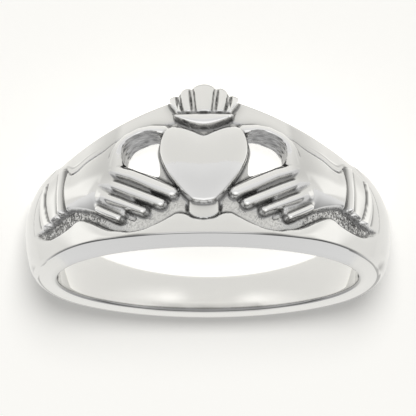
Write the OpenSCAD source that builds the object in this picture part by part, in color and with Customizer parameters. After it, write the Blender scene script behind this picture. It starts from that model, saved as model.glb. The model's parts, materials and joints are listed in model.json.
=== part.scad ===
// Claddagh ring in polished cast silver: two hands hold a crowned heart.
// The band is one casting. Its hands, heart, crown and cuffs stand up from a sunk field,
// and two openings beside the heart are pierced right through.
// It lies on its side with the crown down, as it rests by itself: on the crown's tip and on
// the band's edge at the back. The origin is under the middle of its bounding box.

/* [Finger hole] */
// Diameter of the finger hole
hole_d = 17.3; // [15:0.1:21]

/* [Band] */
// Wall at the sides, at the crest of its round outside
band_t = 1.85; // [1.5:0.05:2.4]
// Wall at the back
back_t = 2; // [1.5:0.05:2.4]
// Width at the back, along the hole
back_w = 2.2; // [1.8:0.1:3]
// How far the lower edge rises from the sides to the back
back_rise = 1.25; // [0.8:0.05:1.6]
// Width at the sides, along the hole
side_w = 4.35; // [3.8:0.05:5.2]
// How far the outside falls from its crest to its edges, at the sides
side_round = 0.7; // [0.3:0.05:0.9]
// Radius of the edges
edge_r = 0.25; // [0.1:0.05:0.35]
// How far the upper edge rises to a gable behind the crown
gable_h = 2.25; // [1:0.05:2.5]
// Arc length from the middle of the head to the foot of that gable
gable_l = 10.2; // [6:0.2:11]

/* [Head] */
// Arc length from the middle of the head to the end of the cuffs
ornament_l = 13; // [12:0.25:14]
// Length along the hole from the side edge's plane to the top of the thumbs
field_w = 5.6; // [5.2:0.1:6]
// Wall left under the sunk field
floor_t = 1.6; // [1.3:0.05:1.9]
// Height of the lower rim above the field
rim_h = 0.8; // [0.5:0.05:1]
// How far the smooth strip along the upper edge falls towards that edge
strip_fall = 0.15; // [0:0.05:0.3]

/* [Heart] */
// Width of the heart
heart_w = 5.1; // [4.6:0.1:5.4]
// Length of the heart along the hole, tip to lobes
heart_l = 4.85; // [4.5:0.1:5.2]
// Height of the heart's edge above the field
heart_edge = 0.65; // [0.4:0.05:0.9]
// Rise of the heart's pillow above its edge
heart_rise = 0.6; // [0.3:0.05:0.9]
// Width of the foot that joins the heart's tip to the rim
foot_w = 1.7; // [1.2:0.1:2]
// Height of that foot above the field
foot_h = 0.35; // [0.2:0.05:0.6]

/* [Hands] */
// Width of a finger
finger_w = 0.66; // [0.5:0.02:0.7]
// Height of the fingers above the field
finger_h = 0.7; // [0.4:0.05:0.9]
// Width of the thumb where it arches over the opening
thumb_w = 0.5; // [0.4:0.02:0.6]
// Height of the thumb above the field
thumb_h = 0.65; // [0.4:0.05:0.9]
// How far the sleeve swells above the plain band
sleeve_h = 0.15; // [0.05:0.05:0.3]
// Height of the folds of the cuff
fold_h = 0.25; // [0.15:0.05:0.35]

/* [Openings] */
// Length of an opening along the arc
opening_l = 2.45; // [2:0.05:2.7]
// Width of an opening along the hole
opening_w = 2.7; // [2.2:0.05:2.8]
// How far up the openings start from the heart's tip
opening_up = 1.85; // [1.7:0.05:2]
// Direction that the openings are cut in, from the middle of the head
opening_turn = 10; // [0:1:20]

/* [Crown] */
// Width of the crown at its top
crown_w = 4; // [3.4:0.1:4.4]
// Length of the crown along the hole, from its foot to its tip
crown_l = 2.5; // [2:0.1:2.8]
// Height of the crown's lobes above the field
crown_h = 0.5; // [0.3:0.05:0.7]
// Length of the smooth band at the crown's foot
crown_band = 0.6; // [0.4:0.05:0.8]
// Height of that band above the field
crown_band_h = 0.6; // [0.3:0.05:0.8]

/* [Hidden] */

// Mesh steps: columns per side in the ornament and in the plain band, and rows across.
// The plain band takes every fourth row.
fine_cols = 58;
plain_cols = 18;
rows = 44;
row_step = 4;

// Radius of the hole, of the band's crest, of the sunk field, and of the body before the hole is cut.
// The slopes are those of the band's edges, per length across the ring.
hole_r = hole_d / 2;
arc_r = hole_r + band_t;
floor_r = hole_r + floor_t;
inner_r = hole_r - 0.4;
low_slope = back_rise / hole_r;
high_slope = (side_w - back_w - back_rise) / hole_r;
gable_bend = 1.2;

// The field stays at least this far under the plain band
field_sink = 0.1;

// Where the crown's foot and tip and the heart's tip lie, along the hole
crown_foot = field_w - 0.15;
crown_tip = field_w - 0.1 + crown_l;
heart_tip = field_w - 0.1 - heart_l;
heart_fit = 0.95 * heart_w / heart_l;

// Lobes of the crown: where each ends, as shares of half its width. Its top follows an arc
// with a scallop for each lobe, its foot is narrower, and its back edge is set lower.
LOBES = [0.33, 0.71, 1.0];
crown_arc = 0.22 * crown_w;
crown_scallop = 0.12;
crown_taper = 0.8;
crown_lean = 0.2;

// Width of the walls between the forms and the field, and of the rim's rounding
wall_w = 0.25;
rim_round = 0.45;

// Fingers, from the index to the little one, as shares of ornament_l and field_w:
// base along the arc, base along the hole, tip along the arc, tip along the hole,
// then half widths at base and tip as shares of finger_w
FINGERS = [
    [0.385, 0.545, 0.135, 0.265, 0.50, 0.48],
    [0.455, 0.470, 0.188, 0.150, 0.44, 0.40],
    [0.485, 0.345, 0.268, 0.090, 0.56, 0.38],
    [0.510, 0.225, 0.400, 0.060, 0.46, 0.36]
];

// Thumb, from the heart's lobe round to the wrist: along the arc and along the hole as
// shares of ornament_l and field_w, and half width as a share of thumb_w
THUMB = [
    [0.165, 0.940, 0.60],
    [0.230, 0.970, 0.45],
    [0.285, 0.960, 0.42],
    [0.342, 0.907, 0.46],
    [0.385, 0.830, 0.56],
    [0.404, 0.750, 0.76],
    [0.412, 0.670, 0.96],
    [0.408, 0.570, 1.20]
];

// Lower rim's upper line: along the arc as a share of ornament_l, along the hole as one of field_w
RIM = [
    [0.000, -0.037],
    [0.050, -0.014],
    [0.077, 0.025],
    [0.108, 0.038],
    [0.150, 0.004],
    [0.190, -0.040],
    [0.270, -0.105],
    [0.330, -0.110],
    [0.400, -0.070],
    [0.460, -0.030],
    [0.530, 0.075],
    [0.590, 0.140],
    [0.625, 0.138],
    [0.665, 0.090],
    [0.750, 0.050],
    [0.890, 0.060],
    [0.950, 0.120],
    [1.000, 0.200]
];

// Smooth strip along the upper edge: its width as a share of field_w, by share of ornament_l
STRIP = [
    [0.00, 0.270],
    [0.17, 0.260],
    [0.28, 0.190],
    [0.42, 0.205],
    [0.48, 0.240],
    [0.57, 0.255],
    [0.62, 0.280],
    [0.67, 0.265],
    [0.71, 0.170],
    [0.76, 0.135],
    [0.84, 0.170],
    [1.00, 0.180]
];

// Sleeve and cuff: lower line as a share of field_w, by share of ornament_l.
// The sleeve comes in at the wrist and ends where the first fold starts.
wrist = 0.34;
wrist_blend = 0.08;
SLEEVE = [
    [0.34, 0.66],
    [0.40, 0.50],
    [0.46, 0.34],
    [0.54, 0.18],
    [0.60, 0.24],
    [0.67, 0.30],
    [0.74, 0.33],
    [0.79, 0.22],
    [0.88, 0.20],
    [1.00, 0.20]
];

// Folds of the cuff: start and end as shares of ornament_l, height as a share of fold_h,
// and how much they bow, as a share of ornament_l. They bow about bow_mid of their length,
// and the grooves between them lie fold_sink of their height under the plain band.
FOLDS = [
    [0.695, 0.748, 1.00, 0.013],
    [0.748, 0.828, 1.00, 0.100],
    [0.828, 0.885, 0.90, 0.167],
    [0.885, 1.000, 0.50, 0.250]
];
bow_mid = 0.45;
fold_sink = 0.4;

// Half outline of the heart: angle from its tip, and radius as a share of heart_w
HEART = [
    [0, 0.530],
    [15, 0.515],
    [33, 0.455],
    [62, 0.430],
    [81, 0.457],
    [96, 0.490],
    [107, 0.520],
    [119, 0.548],
    [130, 0.556],
    [139, 0.530],
    [147, 0.460],
    [161, 0.353],
    [180, 0.290]
];

// Outline of an opening: along the arc and along the hole, as shares of its length and
// width, from its corner beside the heart's lobe
OPENING = [
    [0.02, 0.95],
    [0.22, 1.00],
    [0.48, 0.99],
    [0.78, 0.89],
    [0.95, 0.74],
    [1.00, 0.59],
    [0.96, 0.43],
    [0.83, 0.29],
    [0.55, 0.15],
    [0.28, 0.06],
    [0.06, 0.00],
    [0.04, 0.18],
    [0.09, 0.42],
    [0.10, 0.68]
];
opening_from = 0.49 * heart_w - 0.05;
opening_low = heart_tip + opening_up;

// Limits, blends and a half circle
function limit(x, low = 0, high = 1) = min(high, max(low, x));
function mix(a, b, t) = a + (b - a) * t;
function ease(x) = let (t = limit(x)) t * t * (3 - 2 * t);
function round_top(x) = sqrt(max(0, 1 - x * x));

// Value in column k of a table whose first column rises, in straight steps between its rows
function look_up(table, x, k = 1) =
    x <= table[0][0] ? table[0][k] :
    x >= table[len(table) - 1][0] ? table[len(table) - 1][k] :
    let (i = max([for (n = [0 : len(table) - 2]) if (table[n][0] <= x) n]))
    let (t = (x - table[i][0]) / (table[i + 1][0] - table[i][0]))
    mix(table[i][k], table[i + 1][k], t);

// Share of the way along a segment, and the distance from it
function along(p, a, b) =
    let (d = b - a)
    limit(((p - a) * d) / (d * d));
function away(p, a, b) = norm(p - mix(a, b, along(p, a, b)));

// A rounded ridge over a tapering segment: its share of full height at a point
function ridge(p, a, b, ra, rb) =
    let (q = away(p, a, b) / mix(ra, rb, along(p, a, b)))
    max(0, 1 - q * q);

// Edges of the band along the hole, at a radius and an angle from the head
function gable(u) = gable_h * pow(limit(1 - abs(u) / gable_l), gable_bend);
function low_edge(r, angle) = -low_slope * r * cos(angle);
function band_edge(r, angle, u) = side_w + high_slope * r * cos(angle) + gable(u);

// Share of full height across the crown's lobes
function lobe(x) =
    let (i = x < LOBES[0] ? 0 : x < LOBES[1] ? 1 : 2)
    let (from = i == 0 ? -LOBES[0] : LOBES[i - 1], to = LOBES[i])
    round_top((2 * x - from - to) / (to - from));
function crown_edge(r, u) =
    let (x = 2 * abs(u) / crown_w)
    crown_tip - crown_arc * x * x - crown_scallop * (1 - lobe(min(1, x))) - crown_lean * (arc_r - r);
function high_edge(r, angle, u) =
    abs(u) > crown_w / 2 ? band_edge(r, angle, u) :
    max(band_edge(r, angle, u), crown_edge(r, u));

// Outside of the plain band, as a radius: round from edge to edge, flatter at the head and the back
function band_round(angle) =
    let (w = side_w + (low_slope + high_slope) * arc_r * cos(angle))
    side_round * (w > side_w ? 1 - 0.4 * cos(angle) : pow(w / side_w, 2));
function plain_r(angle, a, low, edge) =
    let (v = limit((a - low) / (edge - low)))
    arc_r + (back_t - band_t) * pow(max(0, -cos(angle)), 2) - band_round(angle) * pow(abs(2 * v - 1), 2.2);

// Radius of each form at u along the arc and a along the hole, or that of the field where it isn't.
// The forms meet the field in walls as wide as wall_w.
function rim_form(u, a, plain, field) =
    let (line = field_w * look_up(RIM, u / ornament_l), fade = 1 - ease(u / ornament_l))
    let (top = mix(plain, floor_r + rim_h, fade))
    mix(field, top, sqrt(limit((line - a) / rim_round)));

function strip_line(u, edge) = edge - field_w * look_up(STRIP, u / ornament_l);
function strip_form(u, a, edge, plain, field) =
    let (line = strip_line(u, edge), fall = strip_fall * (1 - ease(u / ornament_l)))
    mix(field, plain - fall * limit((a - line) / (edge - line)), limit((a - line) / wall_w));

function finger_form(u, a, f, field) =
    field + finger_h * ridge([u, a],
        [f[0] * ornament_l, f[1] * field_w], [f[2] * ornament_l, f[3] * field_w],
        f[4] * finger_w, f[5] * finger_w);

function thumb_form(u, a, i, field) =
    let (p = THUMB[i], q = THUMB[i + 1])
    field + thumb_h * ridge([u, a],
        [p[0] * ornament_l, p[1] * field_w], [q[0] * ornament_l, q[1] * field_w],
        p[2] * thumb_w, q[2] * thumb_w);

// Sleeve and folds reach from the lower line of the table to the strip
function sleeve_low(u) = field_w * look_up(SLEEVE, u / ornament_l);
function sleeve_share(u, a, edge) = limit((a - sleeve_low(u)) / (strip_line(u, edge) - sleeve_low(u)));
function sleeve_wall(u, a) = limit((a - sleeve_low(u)) / wall_w);
function sleeve_form(u, a, edge, plain, field) =
    let (x = u / ornament_l, swell = sleeve_h * round_top(2 * sleeve_share(u, a, edge) - 1))
    x < wrist || x > FOLDS[0][0] ? field :
    mix(field, plain + swell, sleeve_wall(u, a) * ease((x - wrist) / wrist_blend));

function bow(u, a, f, edge) = f[3] * pow(sleeve_share(u, a, edge) - bow_mid, 2);
function fold_form(u, a, f, edge, plain, field) =
    let (x = u / ornament_l + bow(u, a, f, edge))
    let (top = round_top(2 * (x - f[0]) / (f[1] - f[0]) - 1) - fold_sink)
    x < f[0] || x > f[1] ? field :
    mix(field, plain + fold_h * f[2] * top, sleeve_wall(u, a));

// The plain band goes on past the last fold
function band_form(u, a, edge, plain, field) =
    let (f = FOLDS[len(FOLDS) - 1], end = ornament_l * (f[1] - bow(u, a, f, edge)))
    mix(field, plain, limit((u - end) / wall_w));

function heart_form(u, a, field) =
    let (da = (heart_tip + HEART[0][1] * heart_w - a) * heart_fit, angle = abs(atan2(u, da)))
    let (reach = heart_w * look_up(HEART, angle), q = norm([u, da]) / reach)
    q >= 1 ? field :
    field + heart_edge * limit((1 - q) * reach / wall_w) + heart_rise * (1 - pow(q, 2.5));

function foot_form(u, a, field) =
    field + foot_h * limit((foot_w / 2 - u) / wall_w) * limit((heart_tip + foot_w / 2 - a) / wall_w);

function crown_form(u, a, field) =
    let (foot = crown_foot + crown_band, t = limit((a - foot) / (crown_tip - foot)))
    let (x = 2 * u / crown_w / mix(crown_taper, 1, t), low = mix(crown_foot, foot, 0.7 * x * x))
    x > 1 ? field :
    a > foot ? field + crown_h * mix(1, 0.8, t) * mix(0.5, 1, lobe(x)) :
    field + crown_band_h * round_top(2 * limit((a - low) / (foot - low)) - 1);

// Radius of the outside of the whole casting
function outside(u, angle, a, low) =
    let (edge = band_edge(arc_r, angle, u), m = abs(u), plain = plain_r(angle, a, low, edge))
    let (field = min(floor_r, plain - field_sink))
    m > ornament_l ? plain :
    max(concat(
        [
            rim_form(m, a, plain, field),
            strip_form(m, a, edge, plain, field),
            sleeve_form(m, a, edge, plain, field),
            band_form(m, a, edge, plain, field),
            heart_form(m, a, field),
            foot_form(m, a, field),
            crown_form(m, a, field)
        ],
        [for (f = FINGERS) finger_form(m, a, f, field)],
        [for (i = [0 : len(THUMB) - 2]) thumb_form(m, a, i, field)],
        [for (f = FOLDS) fold_form(m, a, f, edge, plain, field)]
    ));

// Radius with the two outer edges rounded
function rounded(r, a, low, high) =
    let (d = min(a - low, high - a))
    r - edge_r * (1 - round_top(1 - limit(d / edge_r)));

// Columns round the ring, by angle from the head, and rows across it
head_end = 1.06 * ornament_l / arc_r * 180 / PI;
angles = concat(
    [for (i = [-fine_cols : fine_cols]) let (t = i / fine_cols) head_end * mix(pow(t, 3), t, 0.85)],
    [for (i = [1 : 2 * plain_cols - 1]) head_end + (360 - 2 * head_end) * i / (2 * plain_cols)]
);
function arc(angle) = arc_r * (angle > 180 ? angle - 360 : angle) * PI / 180;
// Rows lie closer at the edges. In the hands they slant with the fingers.
SLANT = [
    [0.00, 0],
    [0.13, -1],
    [0.50, 1],
    [0.72, 0]
];
slant_share = 0.15;
function row_share(j, u) =
    let (t = j / rows - 0.2 * sin(360 * j / rows) / (2 * PI))
    t + slant_share * look_up(SLANT, abs(u) / ornament_l) * 4 * t * (1 - t);
function is_fine(i) = i <= 2 * fine_cols;

// Radius at each column and row, and the same softened by its neighbours in the ornament
function grid_a(i, j) =
    let (angle = angles[i], u = arc(angle))
    mix(low_edge(arc_r, angle), high_edge(arc_r, angle, u), row_share(j, u));
grid = [for (i = [0 : len(angles) - 1]) [for (j = [0 : is_fine(i) ? 1 : row_step : rows])
    outside(arc(angles[i]), angles[i], grid_a(i, j), low_edge(arc_r, angles[i]))]];
function soft(i, j) =
    i < 1 || i >= 2 * fine_cols || j < 1 || j >= rows ? grid[i][j] :
    0.5 * grid[i][j] + 0.125 * (grid[i - 1][j] + grid[i + 1][j] + grid[i][j - 1] + grid[i][j + 1]);

// Place of a point: the head faces -Y and the hole's axis is Z, with the crown's side down
function place(r, angle, a) = [r * sin(angle), -r * cos(angle), -a];

function column(i) =
    let (angle = angles[i], u = arc(angle), step = is_fine(i) ? 1 : row_step)
    let (low = grid_a(i, 0), high = grid_a(i, rows))
    concat(
        [for (k = [0 : len(grid[i]) - 1])
            let (a = grid_a(i, k * step))
            place(rounded(soft(i, k), a, low, high), angle, a)],
        [place(inner_r, angle, high_edge(inner_r, angle, u)), place(inner_r, angle, low_edge(inner_r, angle))]
    );
columns = [for (i = [0 : len(angles) - 1]) column(i)];
starts = [for (i = 0, n = 0; i < len(columns); n = n + len(columns[i]), i = i + 1) n];

// Faces of one cell between two columns, split along the diagonal that suits its side
function cell(a, an, b, bn, left) =
    left ? [[a, an, b], [an, bn, b]] : [[a, bn, b], [a, an, bn]];

// Faces from a column to the next. Where only one of them has every row, fans join them.
function join_columns(i, k) =
    let (a = starts[i], b = starts[k], na = len(columns[i]), nb = len(columns[k]))
    let (coarse = min(na, nb) - 3, fan = na > nb ? 1 : -1)
    na == nb ?
        [for (j = [0 : na - 1]) each cell(a + j, a + (j + 1) % na, b + j, b + (j + 1) % na, angles[i] > 0)] :
    concat(
        [for (j = [0 : coarse - 1])
            let (f = (fan > 0 ? a : b) + row_step * j, c = (fan > 0 ? b : a) + j)
            each [
                for (m = [0 : row_step]) m < row_step ?
                    wound([f + m, f + m + 1, m < row_step / 2 ? c : c + 1], fan) :
                    wound([f + row_step / 2, c + 1, c], fan)
            ]],
        [for (m = [0 : 2])
            let (p = na - 3 + m, q = nb - 3 + m)
            each cell(a + p, a + (p + 1) % na, b + q, b + (q + 1) % nb, false)]
    );
function wound(face, way) = way > 0 ? face : [face[2], face[1], face[0]];
count = len(columns);
body_points = [for (c = columns) each c];
body_faces = [for (i = [0 : count - 1]) each join_columns((i + 1) % count, i)];

// Smooth closed curve through a few points
function curve_point(p, i, t) =
    let (n = len(p), a = p[(i + n - 1) % n], b = p[i], c = p[(i + 1) % n], d = p[(i + 2) % n])
    0.5 * (2 * b + (c - a) * t + (2 * a - 5 * b + 4 * c - d) * t * t + (3 * b - a - 3 * c + d) * t * t * t);
function closed_curve(p, steps) =
    [for (i = [0 : len(p) - 1], k = [0 : steps - 1]) curve_point(p, i, k / steps)];

// Opening's outline, seen along its cut
function opening_point(q) =
    let (angle = (opening_from + opening_l * q[0]) / arc_r * 180 / PI)
    [arc_r * sin(angle - opening_turn), opening_low + opening_w * q[1]];

module opening() {
    rotate([0, 0, opening_turn])
        rotate([90, 0, 0])
            linear_extrude(height = 2 * arc_r)
                mirror([0, 1])
                    polygon(closed_curve([for (q = OPENING) opening_point(q)], 2));
}

// Rest: the tilt that brings the crown's tip and the back's edge level, and the move that
// puts the origin under the middle
tip_point = place(floor_r + crown_h * 0.8, 0, crown_tip);
back_point = place(arc_r - edge_r / 2, 180, band_edge(arc_r, 180, arc_r * PI));
rest_tilt = atan2(back_point[2] - tip_point[2], back_point[1] - tip_point[1]);
function lain(p) =
    let (c = cos(rest_tilt), s = sin(rest_tilt))
    [p[0], p[1] * c + p[2] * s, p[2] * c - p[1] * s];
rest_points = concat(body_points, [for (t = angles) place(hole_r, t, high_edge(hole_r, t, arc(t)))]);
lain_y = [for (p = rest_points) lain(p)[1]];
lain_z = [for (p = rest_points) lain(p)[2]];
rest_move = [0, -(min(lain_y) + max(lain_y)) / 2, -min(lain_z)];

module casting() {
    difference() {
        polyhedron(points = body_points, faces = body_faces, convexity = 10);
        translate([0, 0, -2 * arc_r])
            cylinder(h = 4 * arc_r, r = hole_r, $fn = 180);
        opening();
        mirror([1, 0, 0])
            opening();
    }
}

module ring() {
    color("silver")
        translate(rest_move)
            rotate([-rest_tilt, 0, 0])
                casting();
}

ring();
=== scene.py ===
"""Looks for the claddagh ring: one polished silver casting, with the grain of its mould left in the
recesses. Lengths are in millimetres until they go into a mesh. The ring is described round its own
finger hole, by these:
- angle, from the middle of the head, and u, its arc length in the crest, both positive towards +X
- m, which is u without its sign, because the two halves of the head mirror each other
- a, the place along the hole, which grows from the tip of the heart to the crown
- r, the radius from the hole's axis"""

import json
import math

import bmesh
import bpy
import numpy as np
from mathutils import Matrix, Vector


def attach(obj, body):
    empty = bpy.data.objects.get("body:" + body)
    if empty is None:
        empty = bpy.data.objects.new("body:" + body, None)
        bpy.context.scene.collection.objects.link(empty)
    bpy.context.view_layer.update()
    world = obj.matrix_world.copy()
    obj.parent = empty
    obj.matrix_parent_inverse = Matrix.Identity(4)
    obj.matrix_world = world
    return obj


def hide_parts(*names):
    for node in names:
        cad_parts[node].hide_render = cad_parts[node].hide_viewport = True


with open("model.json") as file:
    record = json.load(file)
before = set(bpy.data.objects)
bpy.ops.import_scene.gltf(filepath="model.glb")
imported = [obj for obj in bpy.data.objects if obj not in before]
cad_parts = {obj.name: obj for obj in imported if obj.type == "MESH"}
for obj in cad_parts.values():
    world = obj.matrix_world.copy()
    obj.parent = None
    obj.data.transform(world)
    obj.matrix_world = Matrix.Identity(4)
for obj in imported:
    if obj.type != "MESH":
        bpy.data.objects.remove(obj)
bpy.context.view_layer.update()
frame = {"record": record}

# Where the finger hole lies, from the part's own mount
MM = 0.001
hole = next(m for m in frame["record"]["mounts"] if m["name"] == "finger_hole")
HOLE_R = hole["dims"]["r_mm"]
HOLE_MIDDLE = 3.19
AXIS = Vector(hole["axis"]).normalized()
ACROSS = Vector((1, 0, 0))
BACKWARD = AXIS.cross(ACROSS)
CENTRE = Vector(hole["pos_m"]) / MM + AXIS * HOLE_MIDDLE

# Band, with a gable behind the crown
CREST_R = HOLE_R + 1.85
BACK_RISE = 1.25
SIDE_WIDTH = 4.35
BACK_WIDTH = 2.2
BACK_SWELL = 0.15
SIDE_ROUND = 0.6
CREST_RISE = 0.14
INNER_ROUND = 0.15
LOW_SLOPE = BACK_RISE / HOLE_R
HIGH_SLOPE = (SIDE_WIDTH - BACK_WIDTH - BACK_RISE) / HOLE_R
GABLE_H = 2.25
GABLE_L = 10.2
GABLE_BEND = 1.2

# Edges of the outside, crisp at the head and rounder at the sides, and between which m they change
BEVEL = 0.27
BEVEL_FADE = (15, 24)
LOW_ROUND_HEAD = 0.06
LOW_ROUND_SIDE = 0.32
LOW_ROUND_WIDTH = 0.7
LOW_ROUND_FADE = (11.6, 15.6)
HIGH_ROUND_HEAD = 0.1
HIGH_ROUND_SIDE = 0.2
HIGH_ROUND_FADE = (3, 9)

# Head: where it ends, its rough field, and the slope from a form down to the field
ORNAMENT = 13.0
FIELD_R = 10.32
CREVICE_R = 10.16
FIELD_DROP = 0.14
FIELD_LIFT = 0.14
PITS = 0.02
FINE_PITS = 0.012
SLOPE = 0.16

# Lower rim, and the smooth strip along the upper edge
RIM_R = 11.05
RIM_FALL = 0.34
RIM_TUCK = 0.04
RIM_LEAST = 0.3
RIM_SLOPE = 0.24
STRIP_SWELL = 0.05
STRIP_FALL = 0.2
STRIP_GROOVE = 0.05

# Sleeve and cuff: a ridge, a fold and an outer fold, each by where it starts and how far it rises
SLEEVE_END = 9.12
SLEEVE_SWELL = 0.46
SLEEVE_LIFT = 0.03
SLEEVE_SLOPE = 0.2
CUFF_START = 9.24
RIDGE_MIDDLE = 9.48
RIDGE_HALF = 0.26
RIDGE_RISE = 0.3
FOLD_START = 9.8
FOLD_RISE = 0.24
OUTER_START = 10.95
OUTER_RISE = 0.2
FOLD_GROOVE = 0.16
OUTER_GROOVE = 0.07
GROOVE_HALF = 0.1

# Hand: the lift of each part above its radius and the softness of its joins, and the grooves
HAND_R = 10.92
PALM_JOIN = (-0.04, 0.22)
THUMB_JOIN = (0, 0.04)
FINGER_JOIN = (0.02, 0.08)
WEB_DROP = 0.2
WEB_HALF = 0.4
WEB_SOFT = 0.03
GROOVE_DEPTH = 0.1
HAND_FADE = (8.5, 11)
ROUNDING = 2.4

# Foot of the heart, with a slit at each side, and the heart
FOOT_R = 10.66
FOOT_HALF = 0.86
FOOT_LOW = -0.22
FOOT_HIGH = 1.6
FOOT_ROUND = 0.5
SLIT_M = 0.98
SLIT_A = 0.55
SLIT_HALF = 0.12
SLIT_LENGTH = 0.36
SLIT_DEPTH = 0.2
HEART_EDGE_R = 10.9
HEART_EDGE_ROUND = 0.17
HEART_RISE = 0.54
HEART_MIDDLE = 3.2

# Crown: its outline, the crescent, the lobes, the double lines and the moat beside it
CROWN_TOP = 8.015
CROWN_DROP = 0.05
CROWN_ARC = 0.25
SCALLOP = 0.14
CROWN_REACH = 1.98
CROWN_LEAN = 0.2
CROWN_FOOT = 6.16
CROWN_HALF = 1.58
CROWN_FLARE = 0.46
CROWN_BASE_R = 10.6
CRESCENT_R = 10.93
CRESCENT_LOW = 5.3
CRESCENT_TIP = 5.92
CRESCENT_HALF = 1.65
CRESCENT_END = 1.68
CRESCENT_SAG = 0.05
LOBE_FOOT_R = 10.68
LOBE_TOP_R = 10.42
LOBE_SWELL = 0.2
LINE_OFF = 0.11
LINE_HALF = 0.085
LINE_DEPTH = 0.09
LINE_SINK = 0.03
MOAT_OFF = 0.12
MOAT_HALF = 0.16
MOAT_LIFT = 0.08

# Share of the band's full rounding, by the cosine of the angle from the head
FALL_SHARE = [(-1, 0.26), (-0.5, 0.5), (0, 0.7), (0.5, 0.75), (1, 0.7)]

# Lines on one half of the head, as m and a
RIM_LINE = [(0, -0.21), (0.5, -0.13), (0.7, -0.05), (1.0, 0.14), (1.3, 0.21), (1.6, 0.2), (1.95, 0.02),
            (2.45, -0.22), (2.95, -0.41), (3.55, -0.59), (4.4, -0.61), (4.9, -0.47), (5.7, -0.25),
            (6.8, 0.38), (7.6, 0.78), (8.1, 0.8), (8.65, 0.62), (9.7, 0.52), (11.0, 0.62), (12.2, 1.05),
            (13.0, 1.5)]
SLEEVE_LOW = [(4.2, -0.6), (5.3, 0.05), (6.1, 0.62), (6.95, 1.05), (7.8, 1.4), (8.75, 1.67), (9.3, 1.62),
              (9.9, 1.5), (10.4, 1.38), (11.0, 1.24), (12.0, 1.3), (13.0, 1.5)]
HEART = [(0, 0.65), (0.66, 0.80), (1.25, 1.39), (1.95, 2.33), (2.3, 3.0), (2.5, 3.6), (2.55, 4.1),
         (2.45, 4.7), (2.2, 5.15), (1.8, 5.4), (1.3, 5.35), (0.6, 5.08), (0.2, 4.87), (0, 4.8)]
OPENING = [(2.5, 4.95), (2.95, 5.2), (3.5, 5.2), (4.35, 4.92), (4.8, 4.5), (4.9, 4.1), (4.85, 3.8),
           (4.6, 3.4), (4.0, 3.0), (3.3, 2.72), (2.6, 2.5), (2.55, 3.2), (2.68, 3.95)]

# Width of the smooth strip along the upper edge, by m
EDGE_STRIP = [(0, 1.5), (2.2, 1.45), (3.7, 1.07), (4.95, 1.11), (5.5, 1.15), (6.25, 1.34), (7.4, 1.42),
              (8.1, 1.58), (8.7, 1.48), (9.2, 0.96), (9.9, 0.75), (10.9, 0.95), (12, 1.0), (13, 1.0)]

# Ridges and grooves on one half of the head, as m, a and half width
THUMB = [(2.2, 5.22, 0.36), (3.0, 5.34, 0.33), (3.7, 5.29, 0.32), (4.45, 5.0, 0.35), (4.93, 4.6, 0.4),
         (5.15, 4.2, 0.48), (5.25, 3.75, 0.56), (5.3, 3.2, 0.62)]
PALM = [(5.3, 3.6, 0.6), (5.55, 3.0, 0.7), (5.8, 2.4, 0.75), (6.0, 1.8, 0.6)]
FINGERS = [
    [(5.3, 3.15, 0.44), (4.2, 2.74, 0.42), (3.0, 2.07, 0.45), (1.8, 1.45, 0.38)],
    [(5.7, 2.5, 0.36), (4.2, 1.74, 0.38), (2.45, 0.85, 0.34)],
    [(6.0, 1.77, 0.36), (5.0, 1.27, 0.36), (3.5, 0.5, 0.3)],
    [(6.3, 1.05, 0.3), (5.9, 0.8, 0.3), (5.0, 0.27, 0.26)],
]
GROOVES = [
    [(5.5, 2.94, 0.14), (4.9, 2.6, 0.22), (3.4, 1.76, 0.25), (2.1, 1.02, 0.2)],
    [(6.2, 2.35, 0.14), (5.6, 2.0, 0.2), (4.4, 1.24, 0.23), (3.3, 0.58, 0.18)],
    [(6.35, 1.42, 0.14), (6.0, 1.2, 0.18), (5.0, 0.66, 0.21), (4.2, 0.22, 0.16)],
]

# Lines between the lobes of the crown, from top to foot, and the lobes' sides, as u
CROWN_GROOVES = [[(0.75, 8.0), (0.55, 6.2)], [(1.5, 7.7), (1.33, 6.2)]]
LOBE_SIDES = [-2.05, -1.47, -0.72, 0.72, 1.47, 2.05]

# Cut of each opening, straight through the wall at a turn from the middle of the head
OPENING_TURN = math.radians(10)
OPENING_RINGS = 41
CUT_FROM = 7.6
CUT_TO = 12.2
STRIPE = 0.018
FINE_STRIPE = 0.012

# Grid: rows over the outside, then the shares at which rows cross the two faces and the finger hole
COLUMNS = 540
DENSER = 5.5
HANDS_END = 6.8
OUTER_ROWS = 150
EDGE_DENSER = 0.3
TOP_FACE_ROWS = (0.03, 0.08, 0.35, 0.7, 0.97)
HOLE_ROWS = (0.05, 0.3, 0.6, 0.8, 0.95)
LOW_FACE_ROWS = (0.97, 0.7, 0.45, 0.08, 0.03)
SHARP = math.radians(55)

# Points of the mesh closer than this, in metres, are one
MERGE = 1e-7

# Silver: plain, bright with painted highlights, and nearly black for the cast grain's pits and for painted
# shade and painted dark reflections
SILVER = (0.72, 0.718, 0.71, 1)
BRIGHT = (0.95, 0.947, 0.94, 1)
# Dark colour of the cast grain's pits, and of painted shade and painted dark reflections
DARK_PITS_AND_PAINTED_SHADE = (0.07, 0.07, 0.07, 1)
TONE_STRENGTH = {"crease": 0.75, "line": 1.0, "shade": 0.35, "wall": 0.9}

# Depths at which the painted shade in creases and hollows is darkest, the painted dark reflection round the
# hole, and the painted shade on the openings' walls
CREASE_DEPTH = 0.028
HOLLOW_DEPTH = 0.22
HOLE_LINE_DARK = 0.85
HOLE_LINE_WIDTH = 0.24
# How much wider the painted dark reflection round the hole grows towards the back
HOLE_LINE_WIDENING = 0.35
SKIN = 0.05
WALL_TURN = 0.6
WALL_LOW = 2
WALL_HIGH = 5.6

# Grain and polish as the shader reads them, in metres
GRAIN_SCALE = 9000.0
GRAIN_LEVEL = 0.42
GRAIN_CONTRAST = 4.5
GRAIN_DARK = 0.8
GRAIN_HAZE = 0.1
POLISH_SCALE = 180.0
POLISH_ROUGHNESS = 0.05
POLISH_CHANGE = 0.04
CAST_ROUGHNESS = 0.2
BUMP_DEPTH = 0.00008

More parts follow.
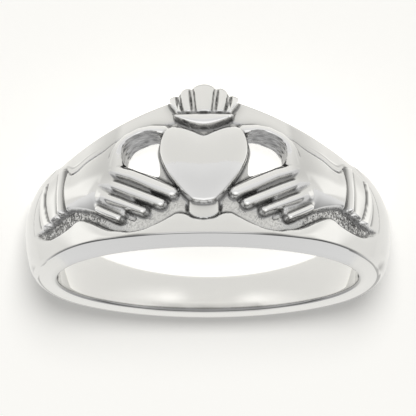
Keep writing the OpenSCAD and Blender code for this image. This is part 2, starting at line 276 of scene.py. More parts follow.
# Floor, in metres. It glows a little, and more in a disc under the ring and in a patch at each side.
FLOOR_HALF = 0.4
FLOOR_COLOUR = (0.82, 0.813, 0.786, 1)
GLOW_COLOUR = (1.0, 0.99, 0.955, 1)
FLOOR_GLOW = 0.27
DISC_GLOW = 0.76
DISC_EDGE = (0.009, 0.0108)
PATCH_GLOW = 0.55
PATCH_EDGE_X = (0.0125, 0.018)
PATCH_EDGE_Y = (0.004, 0.01)
PATCH_Y = -0.008

# Room: brightness by the cosine of the angle from a fixed direction
FRONT = (0, -0.836, 0.549)
SIDEWAYS = (1, 0, 0)
UPWARD = (0, 0, 1)
FRONT_STOPS = [(-1.0, 0.88), (-0.74, 0.88), (-0.25, 0.93), (-0.1, 0.07), (0.06, 0.07), (0.2, 0.8),
               (0.6, 1.0), (1.0, 1.0)]
SIDE_STOPS = [(-1.0, 1.0), (-0.85, 0.8), (-0.3, 0.0), (0.3, 0.0), (0.85, 0.8), (1.0, 1.0)]
LOW_STOPS = [(-1.0, 1.0), (0.0, 1.0), (0.35, 0.4), (1.0, 0.3)]
UP_STOPS = [(-1.0, 0.95), (0.0, 0.98), (0.3, 0.9), (0.6, 0.9), (0.85, 1.2), (1.0, 1.3)]
WHITE = (1.0, 1.0, 1.0, 1)
FILL_SHARE = 0.22

# Sun, in metres from the ring
SUN_FROM = Vector((-0.02, -0.41, 0.18))
SUN_STRENGTH = 4.9
SUN_SPREAD = math.radians(13)

# Camera, in degrees round the ring and in millimetres from the middle of its hole
LENS_TILT = math.radians(20.6)
LENS_TURN = math.radians(-1.3)
PICTURE_WIDTH = 416
PIXELS_PER_MM = 17.4
VIEW_RAISE = 4.109
DISTANCE = 1000
SENSOR = 36


def ease(x):
    """A smooth step from 0 to 1."""
    t = np.clip(x, 0, 1)
    return t * t * (3 - 2 * t)


def rise(x, start, end):
    """A smooth step from 0 at the start to 1 at the end, which may lie on either side of the start."""
    return ease((x - start) / (end - start))


def past(x, width, done=0.5):
    """A smooth step over a width, with a share of it done where x is zero."""
    return ease(x / width + done)


def near(x, width):
    """1 where x is zero, and 0 from a width away."""
    return ease(1 - np.abs(x) / width)


def mix(a, b, t):
    return a + (b - a) * t


def dome(q, power=2):
    """Height of a half circle at a share of its radius, or of a flatter dome with a higher power."""
    return np.sqrt(np.clip(1 - np.abs(q) ** power, 0, 1))


def higher(a, b, soft):
    """The higher of two heights, with a fillet where they meet."""
    t = np.clip(0.5 + 0.5 * (a - b) / soft, 0, 1)
    return mix(b, a, t) + soft * t * (1 - t)


def soften(grid, times):
    """A grid with its steps evened out."""
    for _ in range(times):
        padded = np.pad(grid, 1, mode="edge")
        beside = padded[:-2, 1:-1] + padded[2:, 1:-1] + padded[1:-1, :-2] + padded[1:-1, 2:]
        grid = (beside + 4 * grid) / 8
    return grid


def curve(points, closed=False, steps=8):
    """A smooth curve through a few points, as an array."""
    p = np.array(points, float)
    n = len(p)
    out = []
    for i in range(n if closed else n - 1):
        if closed:
            q0, q1, q2, q3 = (p[(i + k) % n] for k in (-1, 0, 1, 2))
        else:
            q0, q1, q2, q3 = (p[min(max(i + k, 0), n - 1)] for k in (-1, 0, 1, 2))
        for s in range(steps):
            t = s / steps
            out.append(0.5 * (2 * q1 + (q2 - q0) * t + (2 * q0 - 5 * q1 + 4 * q2 - q3) * t * t
                              + (3 * q1 - q0 - 3 * q2 + q3) * t ** 3))
    if not closed:
        out.append(p[-1])
    return np.array(out)


def follow(points, u):
    """Value of a line of points at u, smooth between them."""
    line = curve(points)
    return np.interp(u, line[:, 0], line[:, 1])


def away(u, a, path):
    """Distance from a path as a share of the half width there."""
    path = np.array(path, float)
    best = np.full(u.shape, np.inf)
    for p, q in zip(path[:-1], path[1:]):
        d = q[:2] - p[:2]
        t = np.clip(((u - p[0]) * d[0] + (a - p[1]) * d[1]) / (d @ d), 0, 1)
        gap = np.hypot(u - p[0] - t * d[0], a - p[1] - t * d[1])
        best = np.minimum(best, gap / mix(p[2], q[2], t))
    return best


def inside(u, a, outline):
    """Distance inside a closed outline, negative outside it."""
    gap = away(u, a, [(x, y, 1.0) for x, y in [*outline, outline[0]]])
    within = np.zeros(u.shape, bool)
    for (x0, y0), (x1, y1) in zip(outline, [*outline[1:], outline[0]]):
        if y0 != y1:
            cross = (y0 > a) != (y1 > a)
            within ^= cross & (u < (x1 - x0) * (a - y0) / (y1 - y0) + x0)
    return np.where(within, gap, -gap)


def whole(half):
    """A half outline from the tip to the notch, with its mirror image."""
    line = curve(half)
    return [tuple(p) for p in line] + [(-x, y) for x, y in line[-2:0:-1]]


def low_edge(r, angle):
    """Place of the lower face, which slopes up from the head to the back."""
    return -LOW_SLOPE * r * np.cos(angle)


def band_edge(r, angle, u):
    """Place of the band's upper face, with the gable behind the crown."""
    gable = GABLE_H * np.clip(1 - np.abs(u) / GABLE_L, 0, 1) ** GABLE_BEND
    return SIDE_WIDTH + HIGH_SLOPE * r * np.cos(angle) + gable


def crown_lobe(u):
    """Share of full height across the crown's lobes."""
    sides = np.array(LOBE_SIDES)
    i = np.clip(np.searchsorted(sides, u) - 1, 0, len(sides) - 2)
    return dome((2 * u - sides[i] - sides[i + 1]) / (sides[i + 1] - sides[i]))


def crown_edge(u):
    """The crown's top: an arc with a scallop for each lobe."""
    return CROWN_TOP - CROWN_DROP - CROWN_ARC * u * u - SCALLOP * (1 - crown_lobe(u))


def high_edge(r, angle, u):
    """Place of the upper face, where the crown stands above the gable."""
    edge = band_edge(r, angle, u)
    crown = crown_edge(u) - CROWN_LEAN * (CREST_R - r)
    return np.where(np.abs(u) < CROWN_REACH, np.maximum(edge, crown), edge)


def plain_r(angle, a, low, high):
    """Outside of the plain band: round from edge to edge, its crest above the middle at the sides."""
    fall = SIDE_ROUND * follow(FALL_SHARE, np.cos(angle))
    v = np.clip((a - low) / (high - low), 0, 1)
    crest = 0.5 + CREST_RISE * np.sin(angle) ** 2
    off = np.where(v < crest, (crest - v) / crest, (v - crest) / (1 - crest))
    swell = BACK_SWELL * np.clip(-np.cos(angle), 0, 1) ** 2
    return CREST_R + swell - fall * off ** 2


def grain(u, a, size, seed):
    """Rough cast surface, from -1 to 1: smooth noise on a square grid."""
    x = u / size
    y = a / size
    i = np.floor(x).astype(int)
    j = np.floor(y).astype(int)
    fx = ease(x - i)

    def knot(i, j):
        n = np.sin(i * 127.1 + j * 311.7 + seed * 74.7) * 43758.5453
        return 2 * (n - np.floor(n)) - 1

    low = mix(knot(i, j), knot(i + 1, j), fx)
    high = mix(knot(i, j + 1), knot(i + 1, j + 1), fx)
    return mix(low, high, ease(y - j))


def bevel(u):
    """How far the lower face bends up at its outer edge."""
    return BEVEL * (1 - rise(np.abs(u), *BEVEL_FADE))


def rim_form(m, a, low, plain, field, fade):
    """The smooth raised band under the hands."""
    line = follow(RIM_LINE, m)
    share = np.clip((line - a) / np.maximum(line - low, RIM_LEAST), 0, 1)
    top = mix(plain, RIM_R - RIM_FALL * (1 - share) ** 1.6 - RIM_TUCK * share ** 3, fade)
    cover = past(line - a, RIM_SLOPE, 0.35)
    return mix(field, top, cover), cover


def strip_form(m, a, high, plain, field, fade):
    """The smooth strip along the upper edge, with a shallow groove beside the sleeve."""
    line = high - follow(EDGE_STRIP, m)
    across = np.clip((a - line) / (high - line), 0, 1)
    cover = past(a - line, SLOPE)
    groove = STRIP_GROOVE * near(across - 0.27, 0.12) * rise(m, 5, 6.5) * rise(m, 9.6, 8.6)
    top = plain + fade * (STRIP_SWELL * dome(2 * across - 1) - STRIP_FALL * across) - groove
    return mix(field, top, cover), cover, line


def sleeve_form(m, a, line, plain, field):
    """The sleeve, which swells between its two edges and narrows towards the cuff."""
    bottom = follow(SLEEVE_LOW, m)
    v = np.clip((a - bottom) / (line - bottom), 0, 1)
    along = rise(m, 4.4, 6) * (1 - 0.6 * rise(m, 6.2, 9.1))
    sides = past(a - bottom, SLEEVE_SLOPE, 0.4) * past(line - a, SLOPE)
    cover = sides * rise(m, 4.8, 5.5) * past(SLEEVE_END - m, 0.14)
    swell = 1 - (2 * v - 1) ** 2
    return mix(field, plain + SLEEVE_LIFT + SLEEVE_SWELL * swell * along, cover), cover


def cuff_form(m, a, line, plain, field):
    """Three folds of the cuff, from the sleeve outwards, each a little bent."""
    second = FOLD_START - 0.03 * (a - 3) ** 2
    third = OUTER_START - 0.15 * (a - 3) ** 2
    last = ORNAMENT - 0.25 * (a - 1.7) ** 2
    ridge = plain + RIDGE_RISE * dome((m - RIDGE_MIDDLE) / RIDGE_HALF)
    x = np.clip((m - second) / (third - second), 0, 1)
    fold = plain - 0.02 + FOLD_RISE * dome(1 - x ** 0.7) * (1 - 0.25 * x)
    y = np.clip((m - third) / (last - third), 0, 1)
    outer = plain + 0.03 + OUTER_RISE * np.sin(math.pi * np.clip(y * 2.2, 0, 1)) + 0.05 * (1 - y)
    body = np.where(m < second, ridge, mix(fold, outer, past(m - third, 0.2)))
    body = body - FOLD_GROOVE * near(m - second, GROOVE_HALF) - OUTER_GROOVE * near(m - third, GROOVE_HALF)
    body = mix(body, plain - 0.05, 0.8 * near(m - last, 0.12))
    sides = past(a - follow(SLEEVE_LOW, m), SLEEVE_SLOPE, 0.4) * past(line - a, SLOPE, 0.7)
    cover = sides * past(m - CUFF_START, 0.12)
    beyond = past(m - last, 0.3)
    return mix(mix(field, body, cover), plain, beyond), np.maximum(cover, beyond)


def hand_form(m, a, r, field, cover):
    """Palm, thumb and four fingers, then the grooves between the fingers."""
    parts = [(PALM, PALM_JOIN), (THUMB, THUMB_JOIN), *((finger, FINGER_JOIN) for finger in FINGERS)]
    for path, (lift, soft) in parts:
        q = away(m, a, path)
        r = higher(r, field + (HAND_R + lift - field) * dome(q, ROUNDING), soft)
        cover = np.maximum(cover, ease((1 - q) / 0.2))
    web = np.minimum.reduce([away(m, a, [(x, y, WEB_HALF) for x, y, _ in path[:-1]]) for path in GROOVES])
    r = higher(r, field + (HAND_R - WEB_DROP - field) * dome(web, 4), WEB_SOFT)
    for path in GROOVES:
        outer_end = path[0][0]
        deep = rise(away(m, a, path), 1.1, 0.3) * rise(m, outer_end + 0.12, outer_end - 0.58)
        r = r - GROOVE_DEPTH * deep
        cover = cover * (1 - 0.8 * ease(deep * 1.6 - 0.3))
    return r, cover


def foot_form(m, a, r, field, cover):
    """The round-ended block under the heart's tip, with a slit at each side."""
    half = FOOT_HALF * dome(np.clip(1 - (a - FOOT_LOW) / FOOT_ROUND, 0, 1))
    on = past(half - m, SLOPE) * (a < FOOT_HIGH)
    slit = ease(1 - np.hypot((m - SLIT_M) / SLIT_HALF, (a - SLIT_A) / SLIT_LENGTH))
    r = np.maximum(r, mix(field, FOOT_R - 0.1 * (a + 0.2), on))
    return r - SLIT_DEPTH * slit, np.maximum(cover, on) * (1 - slit)


def heart_form(u, a, r, field, cover):
    """The pillowed heart, with a rounded edge."""
    gap = inside(u, a, whole(HEART))
    share = np.clip(gap / (gap + np.hypot(u, a - HEART_MIDDLE)), 0, 1)
    edge = field + (HEART_EDGE_R - field) * dome(1 - np.clip(gap / HEART_EDGE_ROUND, 0, 1))
    heart = edge + soften(HEART_RISE * (1 - (1 - share) ** 2.2), 60)
    return np.where(gap > 0, np.maximum(r, heart), r), np.maximum(cover, ease(gap / 0.1))


def crown_form(m, a, r, field, cover):
    """A crescent, five lobes above it and fine double lines between the lobes."""
    low = mix(CRESCENT_LOW, CRESCENT_TIP, np.clip(m / CRESCENT_HALF, 0, 1) ** 1.8)
    high = CROWN_FOOT - CRESCENT_SAG * (m / CRESCENT_HALF) ** 2
    x = np.clip((a - low) / np.maximum(high - low, 0.02), 0, 1)
    on = past(CRESCENT_END - m, 0.1)
    base = mix(field, CROWN_BASE_R, rise(x, 0.5, 0.6))
    crescent = mix(field, base + (CRESCENT_R - base) * dome(2 * x - 1, ROUNDING), on)
    t = np.clip((a - high) / (CROWN_TOP - high), 0, 1)
    half = CROWN_HALF + CROWN_FLARE * rise(t, 0, 0.5)
    full = CROWN_HALF + CROWN_FLARE
    lobes = mix(LOBE_FOOT_R, LOBE_TOP_R, t) + LOBE_SWELL * crown_lobe(m * full / half) ** 2
    for (u1, a1), (u0, a0) in CROWN_GROOVES:
        off = np.abs(m - mix(u0, u1, (a - a0) / (a1 - a0)))
        lobes = lobes - LINE_DEPTH * near(off - LINE_OFF, LINE_HALF) - LINE_SINK * rise(off, 0.14, 0.09)
    lobes = mix(CROWN_BASE_R, lobes, rise(t, 0, 0.08))
    above = a > high
    side = past(half - m, 0.14)
    moat = near(m - half - MOAT_OFF, MOAT_HALF) * rise(a, 5.9, 6.1)
    r = mix(r, np.minimum(r, field + MOAT_LIFT), moat)
    r = np.where(above, mix(r, lobes, side), r)
    between = ~above & (a > low)
    r = np.where(between, np.maximum(r, crescent), r)
    cover = cover * (1 - moat)
    cover = np.where(above, np.maximum(cover * (1 - side), side), cover)
    return r, np.where(between, np.maximum(cover, on), cover)


def rough_field(m, a, plain):
    """The field between the forms, deeper under the sleeve and raised a little beside the rim."""
    field = np.minimum(mix(FIELD_R, CREVICE_R, rise(m, 4.8, 6.3)), plain - FIELD_DROP)
    field = mix(field, plain, rise(m, 11.4, 12.9))
    front = rise(m, 5.2, 4) * rise(a, 2.2, 1.4)
    return field + FIELD_LIFT * front * near(a - follow(RIM_LINE, m), 0.9)


def roughness(m, a, cover):
    """How rough the cast surface is: only in the field, and less near the heart and the sleeve."""
    rough = np.clip(1 - cover, 0, 1) * rise(m, ORNAMENT - 0.2, ORNAMENT - 0.7)
    rough = rough * mix(0.35, 1, rise(m, 5.6, 6.4))
    return rough * (1 - rise(a - follow(SLEEVE_LOW, m), 0.15, 0.3) * rise(m, 6.5, 6.9))


def relief(u, angle, a, low, high):
    """Radius of the head's relief, and how much of it is rough field."""
    m = np.abs(u)
    plain = plain_r(angle, a, low, high)
    field = rough_field(m, a, plain)
    fade = 1 - rise(m, 6, ORNAMENT)
    rim, on_rim = rim_form(m, a, low, plain, field, fade)
    strip, on_strip, line = strip_form(m, a, high, plain, field, fade)
    sleeve, on_sleeve = sleeve_form(m, a, line, plain, field)
    cuff, on_cuff = cuff_form(m, a, line, plain, field)
    without_hand = np.maximum.reduce([rim, strip, sleeve, cuff])
    cover = np.maximum.reduce([on_rim, on_strip, on_sleeve, on_cuff])
    r, cover = hand_form(m, a, without_hand, field, cover)
    # The hand's soft joins end here, or they would stop short at the plain band
    r = mix(r, without_hand, rise(m, *HAND_FADE))
    r, cover = foot_form(m, a, r, field, cover)
    r, cover = heart_form(u, a, r, field, cover)
    r, cover = crown_form(m, a, r, field, cover)
    rough = roughness(m, a, cover)
    pits = PITS * grain(u, a, 0.2, 1) + FINE_PITS * grain(u, a, 0.12, 2)
    r = r + rough * mix(1, 2, rise(m, 6, 7)) * pits
    return np.where(m > ORNAMENT, plain, r), np.where(m > ORNAMENT, 0, rough)


def rounded(r, a, low, high, angle, u):
    """Radius with the two outer edges rounded, the lower one crisp at the head and wide at the sides."""
    side = rise(np.abs(u), *LOW_ROUND_FADE) * np.sin(angle) ** 2
    down = np.clip((a - low) / mix(LOW_ROUND_HEAD, LOW_ROUND_WIDTH, side), 0, 1)
    at_low = mix(LOW_ROUND_HEAD, LOW_ROUND_SIDE, side)
    at_high = mix(HIGH_ROUND_HEAD, HIGH_ROUND_SIDE, rise(np.abs(u), *HIGH_ROUND_FADE))
    up = np.clip((high - a) / at_high, 0, 1)
    return r - at_low * (1 - dome(1 - down)) - at_high * (1 - dome(1 - up))


def object_from(name, bm):
    """An object with the mesh that a bmesh holds."""
    mesh = bpy.data.meshes.new(name)
    bm.to_mesh(mesh)
    bm.free()
    made = bpy.data.objects.new(name, mesh)
    bpy.context.scene.collection.objects.link(made)
    return made


def to_frame(x, h, a):
    """Points of the part's frame, in metres, from places across the hole, towards the head and along it."""
    flat = x[..., None] * np.array(ACROSS) - h[..., None] * np.array(BACKWARD)
    return (flat - a[..., None] * np.array(AXIS) + np.array(CENTRE)) * MM


def from_frame(piece):
    """Each vertex of a piece as an angle, a radius and a place along the hole."""
    co = np.zeros(3 * len(piece.data.vertices))
    piece.data.vertices.foreach_get("co", co)
    p = co.reshape(-1, 3) / MM - np.array(CENTRE)
    x = p @ np.array(ACROSS)
    h = -(p @ np.array(BACKWARD))
    return np.arctan2(x, h), np.hypot(x, h), -(p @ np.array(AXIS))


def column_angles():
    """Angles of the grid's columns, closest in the hands and the heart."""
    spot = np.linspace(-math.pi, math.pi, 4001)
    m = np.abs(spot) * CREST_R
    head = 1 - rise(m, ORNAMENT, ORNAMENT + 1.5)
    hands = 1 - rise(m, HANDS_END, HANDS_END + 1)
    density = 1 + DENSER * (head + hands)
    total = np.concatenate([[0], np.cumsum((density[1:] + density[:-1]) / 2)])
    return np.interp(np.linspace(0, total[-1], COLUMNS + 1), total, spot)


def outer_rows(angle, u):
    """The grid over the outside: places along the hole, radii, and how rough it is."""
    low = low_edge(CREST_R, angle) + bevel(u)
    high = high_edge(CREST_R, angle, u)
    t = np.linspace(0, 1, OUTER_ROWS)[None, :]
    t = t - EDGE_DENSER * np.sin(2 * math.pi * t) / (2 * math.pi)
    a = mix(low, high, t)
    r, rough = relief(np.broadcast_to(u, a.shape), np.broadcast_to(angle, a.shape), a, low, high)
    return a, rounded(soften(r, 1), a, low, high, angle, u), rough


def inner_rows(angle, u, a, r):
    """Rows that go on from the outside: over the top face, along the finger hole and over the lower face."""
    rim_r = HOLE_R + INNER_ROUND
    top = high_edge(rim_r, angle, u)
    bottom = low_edge(rim_r, angle)
    turns = np.linspace(0, math.pi / 2, 4)
    rows = []
    for share in TOP_FACE_ROWS:
        radius = mix(r[:, -1:], rim_r, share)
        rows.append((radius, high_edge(radius, angle, u)))
    for turn in turns:
        rows.append((rim_r - INNER_ROUND * math.sin(turn), top - INNER_ROUND * (1 - math.cos(turn))))
    for share in HOLE_ROWS:
        rows.append((HOLE_R, mix(top - INNER_ROUND, low_edge(HOLE_R, angle) + INNER_ROUND, share)))
    for turn in turns[::-1]:
        rows.append((rim_r - INNER_ROUND * math.sin(turn), bottom + INNER_ROUND * (1 - math.cos(turn))))
    outer_r = r[:, :1]
    lift = a[:, :1] - low_edge(outer_r, angle)
    for share in LOW_FACE_ROWS:
        radius = mix(outer_r, rim_r, share)
        rows.append((radius, low_edge(radius, angle) + (1 - share) * lift))
    return rows


def casting():
    """The whole ring as one closed mesh, a grid bent round the hole, and the grid of its outside."""
    angle = column_angles()[:, None]
    u = angle * CREST_R
    a, r, rough = outer_rows(angle, u)
    rows = inner_rows(angle, u, a, r)
    radii = np.hstack([r] + [radius + 0 * angle for radius, _ in rows])
    along = np.hstack([a] + [place for _, place in rows])
    places = to_frame(radii * np.sin(angle), radii * np.cos(angle), along)
    columns, count = radii.shape
    bm = bmesh.new()
    bmesh.ops.create_grid(bm, x_segments=columns - 1, y_segments=count, size=0.5)
    for v in bm.verts:
        i = round((v.co.x + 0.5) * (columns - 1))
        j = round((v.co.y + 0.5) * count)
        v.co = places[i, j % count]
    bmesh.ops.remove_doubles(bm, verts=bm.verts, dist=MERGE)
    bmesh.ops.recalc_face_normals(bm, faces=bm.faces)
    return object_from("silver_casting", bm), angle, a, r, rough


def opening_cutter(side):
    """A prism along the cut, its rings a little uneven, which leaves the striped walls of the openings."""
    outline = curve(OPENING, closed=True, steps=6)
    turn = side * OPENING_TURN
    cut = ACROSS * math.sin(turn) - BACKWARD * math.cos(turn)
    aside = ACROSS * math.cos(turn) + BACKWARD * math.sin(turn)
    sideways = CREST_R * np.sin(side * outline[:, 0] / CREST_R - turn)
    along = outline[:, 1]
    start = CENTRE + cut * CUT_FROM
    middle = start + aside * sideways.mean() - AXIS * along.mean()
    step = cut * ((CUT_TO - CUT_FROM) / (OPENING_RINGS - 1))
    bm = bmesh.new()
    end = bm.faces.new([bm.verts.new((start + aside * x - AXIS * y) * MM) for x, y in zip(sideways, along)])
    size = 1
    for k in range(OPENING_RINGS):
        if k > 0:
            made = bmesh.ops.extrude_face_region(bm, geom=[end, *end.edges, *end.verts])["geom"]
            end = next(part for part in made if isinstance(part, bmesh.types.BMFace))
            bmesh.ops.translate(bm, verts=list(end.verts), vec=step * MM)
        grown = 1 + STRIPE * math.sin(2.3 * k) + FINE_STRIPE * math.sin(5.1 * k + 1)
        pivot = Matrix.Translation(-(middle + step * k) * MM)
        bmesh.ops.scale(bm, verts=list(end.verts), vec=Vector.Fill(3, grown / size), space=pivot)
        size = grown
    bmesh.ops.recalc_face_normals(bm, faces=bm.faces)
    return object_from("opening_cutter", bm)


def pierce(piece):
    """Cuts both openings right through."""
    for side in (-1, 1):
        cutter = opening_cutter(side)
        cut = piece.modifiers.new("opening", "BOOLEAN")
        cut.object = cutter
        cut.solver = "MANIFOLD"
        bpy.context.view_layer.objects.active = piece
        bpy.ops.object.modifier_apply(modifier=cut.name)
        bpy.data.objects.remove(cutter)


def outside_tones(angle, a, r):
    """Painted shade in creases and hollows, painted highlights on raised forms and the strip, and painted
    dark reflections along the edges, on the outside's grid.
    """
    low, high = a[:, :1], a[:, -1:]
    m = np.abs(angle * CREST_R)
    # Painted shade in narrow creases, stronger from the cuff outwards
    crease = (soften(r, 10) - r) / CREASE_DEPTH * (1 + 1.2 * rise(m, 9, 9.4))
    # Broad hollows get painted shade, and forms that stand out get painted highlights
    hollow = (soften(r, 150) - r) / HOLLOW_DEPTH
    # Painted shade over the sleeve beside the hand
    by_hand = 0.6 * rise(m, 4.9, 5.5) * rise(m, 7.8, 5.8) * rise(a, 2, 3)
    # Painted highlight on the smooth strip along the upper edge
    above_line = rise(a - high + follow(EDGE_STRIP, m), 0.2, 0.4)
    on_strip = 0.2 * above_line * rise(m, 4.5, 6.5) * rise(m, 10.5, 9.5)
    inwards = rise(a - low, 0, 0.4) * rise(high - a, 0, 0.3) * (1 - rise(m, 11, 13))
    # Painted dark reflections along the upper edge and along the lower edge, the lower one widest near m 3.9
    top_line = 0.7 * (1 - rise(high - a, 0, 0.12)) * (1 - rise(m, 14, 17))
    low_width = 0.12 + 0.1 * near(m - 3.9, 1.6)
    low_dark = (0.35 + 0.6 * rise(m, 1.5, 4)) * (1 - rise(m, 9.5, 13))
    low_line = low_dark * (1 - rise(a - low, 0, low_width))
    return {
        "crease": np.clip(crease, 0, 1),
        "shade": np.maximum(hollow, by_hand) * inwards,
        "painted_highlight": np.maximum(-0.38 * hollow, on_strip) * inwards,
        "line": np.maximum(top_line, low_line),
    }


def grid_reader(angle, a, spot, place):
    """A function that reads a grid of the outside at each vertex."""
    column = np.interp(spot, angle[:, 0], np.arange(len(angle)))
    i = np.clip(column.astype(int), 0, len(angle) - 2)
    row = np.array([np.interp(place[k], a[i[k]], np.arange(a.shape[1])) for k in range(len(place))])
    j = np.clip(row.astype(int), 0, a.shape[1] - 2)

    def read(grid):
        first = mix(grid[i, j], grid[i + 1, j], column - i)
        second = mix(grid[i, j + 1], grid[i + 1, j + 1], column - i)
        return mix(first, second, row - j)

    return read


def paint(piece, angle, a, r, rough):
    """Attributes for the colour: painted shade, painted highlights, painted dark edge reflections and the
    cast grain outside, a painted dark reflection round the hole, and painted shade on the openings' walls.
    """
    spot, radius, place = from_frame(piece)
    read = grid_reader(angle, a, spot, place)
    outer = radius > read(r) - SKIN
    tones = {name: np.where(outer, np.clip(read(grid), 0, 1), 0)
             for name, grid in outside_tones(angle, a, r).items()}
    # A painted dark reflection along the hole's edge on the lower face, wider towards the back
    from_edge = np.hypot(radius - HOLE_R, place - low_edge(HOLE_R, spot))
    widening = HOLE_LINE_WIDENING * rise(np.abs(spot), 2.6, 3) * (0.7 + 0.3 * grain(spot * HOLE_R, place, 0.7, 4))
    hole_line = HOLE_LINE_DARK * (1 - rise(from_edge, 0, HOLE_LINE_WIDTH + widening))
    tones["line"] = np.maximum(tones["line"], hole_line)
    tones["grain"] = np.where(outer, read(rough), 0)
    # Painted shade on the openings' walls, in uneven stripes
    at_opening = (np.abs(spot) < WALL_TURN) & (place > WALL_LOW) & (place < WALL_HIGH)
    wall = at_opening & ~outer & (radius > HOLE_R + SKIN)
    tones["wall"] = wall * (0.66 + 0.34 * grain(spot * CREST_R / 3, radius, 0.09, 3))
    for name, value in tones.items():
        attribute = piece.data.attributes.new(name, "FLOAT", "POINT")
        attribute.data.foreach_set("value", value.astype(np.float32))


def node(tree, kind, **settings):
    """A new shader node with its own properties set."""
    made = tree.nodes.new("ShaderNode" + kind)
    for name, value in settings.items():
        setattr(made, name, value)
    return made


def feed(tree, value, socket):
    """Joins an output to a socket, or sets the socket to a plain value."""
    if isinstance(value, bpy.types.NodeSocket):
        tree.links.new(value, socket)
    else:
        socket.default_value = value


def maths(tree, kind, *values):
    made = node(tree, "Math", operation=kind)
    for value, socket in zip(values, made.inputs):
        feed(tree, value, socket)
    return made.outputs["Value"]


def vector_maths(tree, kind, *values):
    made = node(tree, "VectorMath", operation=kind)
    for value, socket in zip(values, made.inputs):
        feed(tree, value, socket)
    return made


def mixed(tree, kind, factor, a, b):
    """Two colours mixed, or multiplied."""
    made = node(tree, "Mix", data_type="RGBA", blend_type=kind)
    for value, name in ((factor, "Factor"), (a, "A"), (b, "B")):
        feed(tree, value, made.inputs[name])
    return made.outputs["Result"]


def soft_step(tree, value, edge, before, after):
    """A smooth change from one number to another as a value crosses an edge."""
    made = node(tree, "MapRange", interpolation_type="SMOOTHSTEP")
    names = ("Value", "From Min", "From Max", "To Min", "To Max")
    for given, name in zip((value, *edge, before, after), names):
        feed(tree, given, made.inputs[name])
    return made.outputs["Result"]


def noise(tree, place, scale, detail):
    made = node(tree, "TexNoise")
    for value, name in ((place, "Vector"), (scale, "Scale"), (detail, "Detail")):
        feed(tree, value, made.inputs[name])
    return made.outputs["Fac"]


def painted(tree, name):
    """A tone that paint() gave to the mesh."""
    return node(tree, "Attribute", attribute_name=name).outputs["Fac"]


def silver_darkness(tree, grains):
    """How dark the silver is: pits of the cast grain, painted shade in creases, hollows and the walls of
    openings, and painted dark reflections along edges.
    """
    specks = maths(tree, "MULTIPLY", maths(tree, "SUBTRACT", grains, GRAIN_LEVEL), GRAIN_CONTRAST)
    specks = maths(tree, "MINIMUM", maths(tree, "MAXIMUM", specks, 0.0), GRAIN_DARK)
    dark = maths(tree, "MULTIPLY", painted(tree, "grain"), maths(tree, "ADD", specks, GRAIN_HAZE))
    for name, strength in TONE_STRENGTH.items():
        dark = maths(tree, "MAXIMUM", dark, maths(tree, "MULTIPLY", painted(tree, name), strength))
    return dark


def polished_silver():
    """Polished sterling silver, granular in the recesses, with painted shade, painted dark reflections and
    painted highlights in its colour.
    """
    material = bpy.data.materials.new("polished_silver")
    material.use_nodes = True
    tree = material.node_tree
    shader = tree.nodes["Principled BSDF"]
    shader.inputs["Metallic"].default_value = 1.0
    place = node(tree, "TexCoord").outputs["Object"]
    grains = noise(tree, place, GRAIN_SCALE, 1.5)
    cast = painted(tree, "grain")
    # Painted highlights on raised forms and the strip
    highlighted_silver = mixed(tree, "MIX", painted(tree, "painted_highlight"), SILVER, BRIGHT)
    # Pits of the cast grain, and painted shade and painted dark reflections
    colour = mixed(tree, "MIX", silver_darkness(tree, grains), highlighted_silver, DARK_PITS_AND_PAINTED_SHADE)
    feed(tree, colour, shader.inputs["Base Color"])
    polish = noise(tree, place, POLISH_SCALE, 3.0)
    smooth = maths(tree, "ADD", maths(tree, "MULTIPLY", polish, POLISH_CHANGE), POLISH_ROUGHNESS)
    matt = maths(tree, "ADD", smooth, maths(tree, "MULTIPLY", cast, CAST_ROUGHNESS))
    feed(tree, matt, shader.inputs["Roughness"])
    bump = node(tree, "Bump")
    bump.inputs["Distance"].default_value = BUMP_DEPTH
    feed(tree, maths(tree, "MULTIPLY", cast, grains), bump.inputs["Height"])
    feed(tree, bump.outputs["Normal"], shader.inputs["Normal"])
    return material


def floor_glow(tree):
    """Strength of the floor's glow: a disc under the ring, and a patch at each side of it."""
    place = node(tree, "TexCoord").outputs["Object"]
    aside = vector_maths(tree, "SUBTRACT", place, (0, PATCH_Y, 0)).outputs["Vector"]
    off = vector_maths(tree, "ABSOLUTE", aside).outputs["Vector"]
    apart = node(tree, "SeparateXYZ")
    feed(tree, off, apart.inputs["Vector"])
    outwards = soft_step(tree, apart.outputs["X"], PATCH_EDGE_X, 0.0, 1.0)
    patch = soft_step(tree, apart.outputs["Y"], PATCH_EDGE_Y, PATCH_GLOW - FLOOR_GLOW, 0.0)
    reach = vector_maths(tree, "LENGTH", place).outputs["Value"]
    disc = soft_step(tree, reach, DISC_EDGE, DISC_GLOW, FLOOR_GLOW)
    return maths(tree, "MULTIPLY_ADD", outwards, patch, disc)


def pale_floor():
    """Matt, nearly white paper with a painted glow: a little overall, brighter in a disc under the ring and
    in a patch at each side.
    """
    material = bpy.data.materials.new("pale_floor")
    material.use_nodes = True
    tree = material.node_tree
    shader = tree.nodes["Principled BSDF"]
    shader.inputs["Base Color"].default_value = FLOOR_COLOUR
    shader.inputs["Roughness"].default_value = 0.9
    shader.inputs["Specular IOR Level"].default_value = 0.0
    shader.inputs["Emission Color"].default_value = GLOW_COLOUR
    feed(tree, floor_glow(tree), shader.inputs["Emission Strength"])
    return material


def floor_sheet():
    """A flat sheet under the ring."""
    bm = bmesh.new()
    bmesh.ops.create_grid(bm, x_segments=1, y_segments=1, size=FLOOR_HALF)
    floor = object_from("floor", bm)
    floor.data.materials.append(pale_floor())


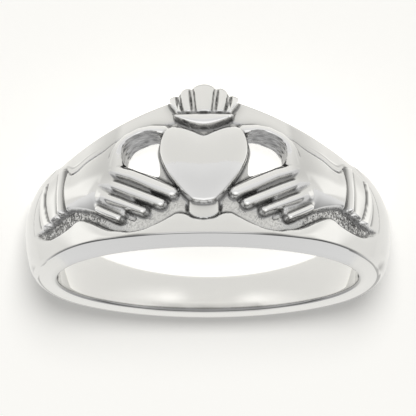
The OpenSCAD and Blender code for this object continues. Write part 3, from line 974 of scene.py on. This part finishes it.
def facing(tree, direction, stops):
    """Brightness by the cosine of the angle between the view and a fixed direction."""
    ray = node(tree, "TexCoord").outputs["Generated"]
    cosine = vector_maths(tree, "DOT_PRODUCT", ray, direction).outputs["Value"]
    half = maths(tree, "MULTIPLY_ADD", cosine, 0.5, 0.5)
    ramp = node(tree, "ValToRGB")
    feed(tree, half, ramp.inputs["Fac"])
    ramp.color_ramp.interpolation = "EASE"
    elements = ramp.color_ramp.elements
    for at, value in stops[1:-1]:
        elements.new((at + 1) / 2).color = (value, value, value, 1)
    for element, (_, value) in ((elements[0], stops[0]), (elements[-1], stops[-1])):
        element.color = (value, value, value, 1)
    return ramp.outputs["Color"]


def room():
    """A soft white room with one dark band round it, and a white box low down at each side."""
    world = bpy.data.worlds.new("studio")
    bpy.context.scene.world = world
    world.use_nodes = True
    tree = world.node_tree
    sky = tree.nodes["Background"]
    band = facing(tree, FRONT, FRONT_STOPS)
    sides = facing(tree, SIDEWAYS, SIDE_STOPS)
    boxes = mixed(tree, "MULTIPLY", 1.0, sides, facing(tree, UPWARD, LOW_STOPS))
    walls = mixed(tree, "MIX", boxes, band, WHITE)
    colour = mixed(tree, "MULTIPLY", 1.0, walls, facing(tree, UPWARD, UP_STOPS))
    feed(tree, colour, sky.inputs["Color"])
    diffuse = node(tree, "LightPath").outputs["Is Diffuse Ray"]
    feed(tree, maths(tree, "MULTIPLY_ADD", diffuse, FILL_SHARE - 1, 1.0), sky.inputs["Strength"])


def sun():
    """A soft sun that lights the floor but isn't mirrored in the silver."""
    light = bpy.data.lights.new("key_light", "SUN")
    light.energy = SUN_STRENGTH
    light.angle = SUN_SPREAD
    holder = bpy.data.objects.new("key_light", light)
    bpy.context.scene.collection.objects.link(holder)
    holder.location = CENTRE * MM + SUN_FROM
    holder.rotation_euler = (-SUN_FROM).to_track_quat("-Z", "Y").to_euler()
    holder.visible_glossy = False


def camera():
    """A long lens at the photo's angle to the ring, above the floor."""
    turn = Matrix.Rotation(LENS_TURN, 3, AXIS)
    towards = turn @ (-BACKWARD * math.cos(LENS_TILT) + AXIS * math.sin(LENS_TILT))
    up = turn @ (-BACKWARD * math.sin(LENS_TILT) - AXIS * math.cos(LENS_TILT))
    lens = bpy.data.cameras.new("camera")
    lens.sensor_width = SENSOR
    lens.lens = SENSOR * DISTANCE / (PICTURE_WIDTH / PIXELS_PER_MM)
    lens.clip_start = 0.01
    eye = bpy.data.objects.new("camera", lens)
    bpy.context.scene.collection.objects.link(eye)
    place = Matrix((up.cross(towards), up, towards)).transposed().to_4x4()
    place.translation = (CENTRE + up * VIEW_RAISE + towards * DISTANCE) * MM
    eye.matrix_world = place
    bpy.context.scene.camera = eye


piece, angle, a, r, rough = casting()
pierce(piece)
paint(piece, angle, a, r, rough)
piece.data.polygons.foreach_set("use_smooth", [True] * len(piece.data.polygons))
piece.data.set_sharp_from_angle(angle=SHARP)
piece.data.materials.clear()
piece.data.materials.append(polished_silver())
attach(piece, "root")
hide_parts("ring")

floor_sheet()
room()
sun()
camera()
bpy.context.scene.view_settings.view_transform = "Standard"
